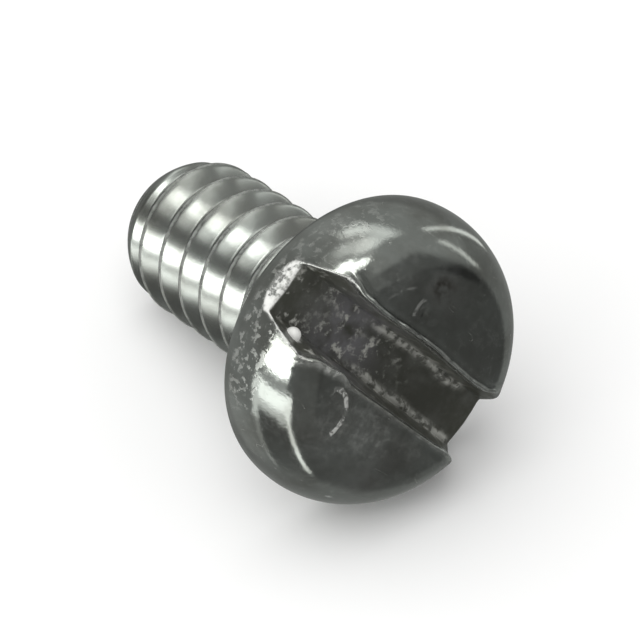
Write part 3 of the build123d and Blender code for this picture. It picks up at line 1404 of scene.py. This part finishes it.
@dataclass(frozen=True)
class Patch:
    """One painted area of the tent, in degrees; azimuth runs from +X toward +Y at the screw."""

    azimuth: float
    elevation: float
    half_width: float
    half_height: float
    level: float
    soft: float = 4.0
    turn: float = 0.0

    def inside(self, distance: Array, half: float) -> Array:
        """Ramp from 1 inside a half size to 0 outside it, over the soft width."""
        return smooth_step(distance, half + self.soft / 2, half - self.soft / 2)

    def cover(self, azimuth: Array, elevation: Array) -> Array:
        """How much of the paint each direction gets.

        Formula: offsets from the centre are turned, each is ramped down over the soft width round its
        half size, and the two are multiplied.

        Args:
            azimuth, elevation: directions round the screw and over the floor, in degrees.

        Returns:
            Numbers from 0 to 1.
        """
        across = (azimuth - self.azimuth + 180.0) % 360.0 - 180.0
        across = across * math.cos(math.radians(self.elevation))
        up = elevation - self.elevation
        turn = math.radians(self.turn)
        u = across * math.cos(turn) + up * math.sin(turn)
        v = up * math.cos(turn) - across * math.sin(turn)
        return self.inside(np.abs(u), self.half_width) * self.inside(np.abs(v), self.half_height)


@dataclass(frozen=True)
class Spot(Patch):
    """A round painted area; its half width is the angle from its centre, its half height is unused."""

    def cover(self, azimuth: Array, elevation: Array) -> Array:
        """How much of the paint each direction gets.

        Formula: the angle from the centre, by the cosine rule on the sphere, ramped down likewise.

        Args:
            azimuth, elevation: directions round the screw and over the floor, in degrees.

        Returns:
            Numbers from 0 to 1.
        """
        up, centre = np.radians(elevation), math.radians(self.elevation)
        around = np.radians(azimuth - self.azimuth)
        cosine = np.sin(up) * math.sin(centre) + np.cos(up) * math.cos(centre) * np.cos(around)
        return self.inside(np.degrees(np.arccos(np.clip(cosine, -1.0, 1.0))), self.half_width)


@dataclass(frozen=True)
class Lamp:
    """A square lamp that looks at the screw's place."""

    name: str
    place: tuple[float, float, float]
    size: float
    energy: float


@dataclass(frozen=True)
class Camera:
    """The photograph's view, given in the screw's frame and laid down with it."""

    toward: tuple[float, float, float] = (-0.6911, 0.0269, -0.7222)
    distance_mm: float = 158.2
    lens_mm: float = 308.1
    sensor_mm: float = 36.0
    roll_deg: float = 1.437
    aim_right_mm: float = -0.998
    aim_up_mm: float = 0.609
    clip_start: float = 0.01
    clip_end: float = 20.0


def facing(back: Array, roll_deg: float = 0.0) -> Array:
    """Axes of a lamp or camera.

    Formula: right is level and square to back, up is square to both, and both are rolled about back.

    Args:
        back: direction from the screw to the lamp or camera.
        roll_deg: roll about it.

    Returns:
        Right, up and back as columns.
    """
    back = back / np.linalg.norm(back)
    level = np.cross([0.0, 0.0, 1.0], back)
    level /= np.linalg.norm(level)
    roll = math.radians(roll_deg)
    right = math.cos(roll) * level + math.sin(roll) * np.cross(back, level)
    return np.stack([right, np.cross(back, right), back], 1)


def stand(name: str, data: ID, axes: Array, place: Array) -> Object:
    """Stands a lamp or camera at its place.

    Args:
        name: name of the object.
        data: its lamp or camera data.
        axes: its right, upward and backward axes as columns.
        place: its place in metres.

    Returns:
        The object, linked to the scene.
    """
    thing = bpy.data.objects.new(name, data)
    turned = Matrix(axes.tolist()).to_4x4()
    turned.translation = place.tolist()
    thing.matrix_world = turned
    bpy.context.scene.collection.objects.link(thing)
    return thing


@dataclass
class Studio:
    """Floor, world, lamps, tent and camera."""

    floor_height: float
    camera: Camera = field(default_factory=Camera)
    lamps: tuple[Lamp, ...] = (
        Lamp("overhead", (-0.15, -0.25, 0.75), 1.1, 5.4),
        Lamp("side", (0.1, -0.8, 0.45), 0.6, 1.4),
    )
    ambient: float = 0.62
    floor_radii: tuple[float, float] = (0.05, 3.0)
    tent_radius: float = 0.12
    tent_level: float = 0.19
    tent_colour: Rgb = (0.97, 1.0, 0.96)
    patches: tuple[Patch, ...] = (
        # azimuth, elevation, half width, half height, level, soft width, turn
        Patch(110, 34, 75, 36, 0.39, 20),
        Patch(105, -22, 46, 26, 0.27, 16),
        Patch(-135, -12, 40, 44, 0.32, 18),
        Patch(0, -90, 360, 30, 0.26, 14),
        Patch(38, 16, 17, 22, 0.15, 14),
        Patch(34, -19, 26, 22, 0.12, 14),
        Patch(46, -3, 9, 7, 0.05, 8),
        Patch(-5, -40, 26, 18, 0.14, 16),
        Patch(0, 90, 360, 24, 0.54, 12),
        Spot(110, 69, 10, 0, 1.5, 10),
        Spot(150, 73, 8, 0, 1.1, 10),
        Spot(-75, 66, 9, 0, 1.5, 8),
        Spot(-49, 79, 7, 0, 4.6, 5),
        Spot(8, 83.5, 6, 0, 5.0, 5),
        Spot(31, 71.5, 6.5, 0, 3.8, 5),
        Patch(143, 52, 10, 6, 1.5, 9),
        Patch(112, 53, 10, 6, 1.25, 9),
        Patch(76, 10, 2.8, 14, 1.3, 4.5, -27),
        Patch(104.5, 4, 2, 26, 1.5, 3, 15),
        Patch(-76, 3.5, 21, 6.5, 0.55, 5),
        Patch(-74, -15.5, 26, 5.5, 1.3, 6),
        Patch(-74, -7, 29, 6, 2.4, 3),
        Patch(-72, -39, 17, 19, 0.17, 8),
        Patch(-61, -19, 5, 3, 1.2, 5),
        Patch(-97, -42, 2.5, 20, 0.62, 4),
        Patch(-98, -17, 3, 12, 1.3, 4),
        Patch(-45.5, -31, 2.8, 24, 2.2, 4, 17),
        Patch(-75, 18.7, 20, 10.2, 5.0, 4),
        Patch(150, -64, 14, 11, 0.26, 10),
        Patch(-125, -46, 15, 15, 0.42, 14),
    )

    def build(self, pose: RestPose) -> None:
        """Sets up everything round the screw.

        Args:
            pose: the screw's rest pose, for the camera's direction.
        """
        self.make_world()
        self.make_floor()
        self.make_tent()
        self.make_lamps()
        self.make_camera(pose)
        bpy.context.scene.view_settings.view_transform = "Standard"

    def make_world(self) -> None:
        """White where the camera and mirrors look past the floor, plain soft light otherwise."""
        world = bpy.data.worlds.new("studio_world")
        bpy.context.scene.world = world
        world.use_nodes = True
        nodes = Nodes(world.node_tree)
        path = nodes.add("ShaderNodeLightPath")
        rays = ("Is Camera Ray", "Is Glossy Ray", "Is Transmission Ray")
        seen = nodes.most(*(path.outputs[ray] for ray in rays))
        strength = nodes.maths("MULTIPLY_ADD", seen, 1.0 - self.ambient, self.ambient)
        background = world.node_tree.nodes["Background"]
        nodes.fill(background, {"Color": rgba((1.0, 1.0, 1.0)), "Strength": strength})

    def make_floor(self) -> None:
        """Lays a round pale floor under the screw."""
        rings, columns = 12, 96
        turn = np.linspace(0.0, 2.0 * math.pi, columns, endpoint=False)
        radius = np.linspace(*self.floor_radii, rings)[:, None]
        points = round_points(radius, turn, self.floor_height).reshape(-1, 3)
        index = np.arange(rings * columns).reshape(rings, columns)
        faces = np.concatenate([ring_faces(index)[:, ::-1], fan_faces(index[0], rings * columns)])
        floor = mesh_object("floor", np.concatenate([points, [[0.0, 0.0, self.floor_height]]]), faces)
        floor.data.materials.append(PaleFloor().material())
        floor.visible_glossy = False

    def make_tent(self) -> None:
        """Surrounds the screw with a grey tent with bright panes, seen only in the metal's reflections.

        Formula: points lie on a sphere at each azimuth and elevation; each patch in turn mixes the
        glow there toward its own level by its cover.
        """
        rows, columns = 179, 360
        azimuth, elevation = np.meshgrid(np.arange(columns) * 1.0, np.linspace(-89.0, 89.0, rows))
        glow = np.full(azimuth.shape, self.tent_level)
        for patch in self.patches:
            cover = patch.cover(azimuth, elevation)
            glow = glow * (1.0 - cover) + patch.level * cover
        up = np.radians(elevation)
        points = round_points(np.cos(up), np.radians(azimuth), np.sin(up)).reshape(-1, 3)
        index = np.arange(rows * columns).reshape(rows, columns)
        tent = mesh_object("grey_tent", points * self.tent_radius, ring_faces(index))
        store(tent, "glow", glow.ravel())
        tent.data.materials.append(self.tent_material())
        for ray in ("camera", "diffuse", "shadow", "transmission", "volume_scatter"):
            setattr(tent, f"visible_{ray}", False)

    def tent_material(self) -> Material:
        """Makes the tent glow by its painted levels.

        Returns:
            The material.
        """
        material, nodes, _ = new_material("tent_glow")
        material.node_tree.nodes.clear()
        light = nodes.add("ShaderNodeEmission")
        nodes.fill(light, {"Color": rgba(self.tent_colour), "Strength": nodes.mask("glow")})
        nodes.feed(nodes.add("ShaderNodeOutputMaterial").inputs["Surface"], light.outputs["Emission"])
        material.cycles.emission_sampling = "NONE"
        return material

    def make_lamps(self) -> None:
        """Adds a large overhead lamp and a weak side lamp for the floor and its soft shadow."""
        for lamp in self.lamps:
            data = bpy.data.lights.new(lamp.name, "AREA")
            data.shape = "SQUARE"
            data.size = lamp.size
            data.energy = lamp.energy
            place = np.array(lamp.place)
            stand(lamp.name, data, facing(place), place).visible_glossy = False

    def make_camera(self, pose: RestPose) -> None:
        """Places the camera at the photograph's viewing angle.

        Args:
            pose: the rest pose that turns the screw's frame into the scene's.
        """
        view = self.camera
        data = bpy.data.cameras.new("camera")
        data.lens = view.lens_mm
        data.sensor_width = view.sensor_mm
        data.clip_start = view.clip_start
        data.clip_end = view.clip_end
        axes = facing(pose.matrix() @ view.toward, view.roll_deg)
        place = axes @ (view.aim_right_mm, view.aim_up_mm, view.distance_mm) / 1000.0
        bpy.context.scene.camera = stand("camera", data, axes, place)


def main() -> None:
    """Builds the screw, then the studio."""
    logging.basicConfig(level=logging.INFO, format="%(name)s: %(message)s")
    screw = Screw()
    piece = screw.build(PlatedSteel())
    log.info("screw: %d points, %d faces", len(piece.data.vertices), len(piece.data.polygons))
    Studio(floor_height=float(cad_box[0][2])).build(screw.pose)
    log.info("studio: floor at %.2f mm", cad_box[0][2] * 1000.0)


if __name__ == "__main__":
    main()
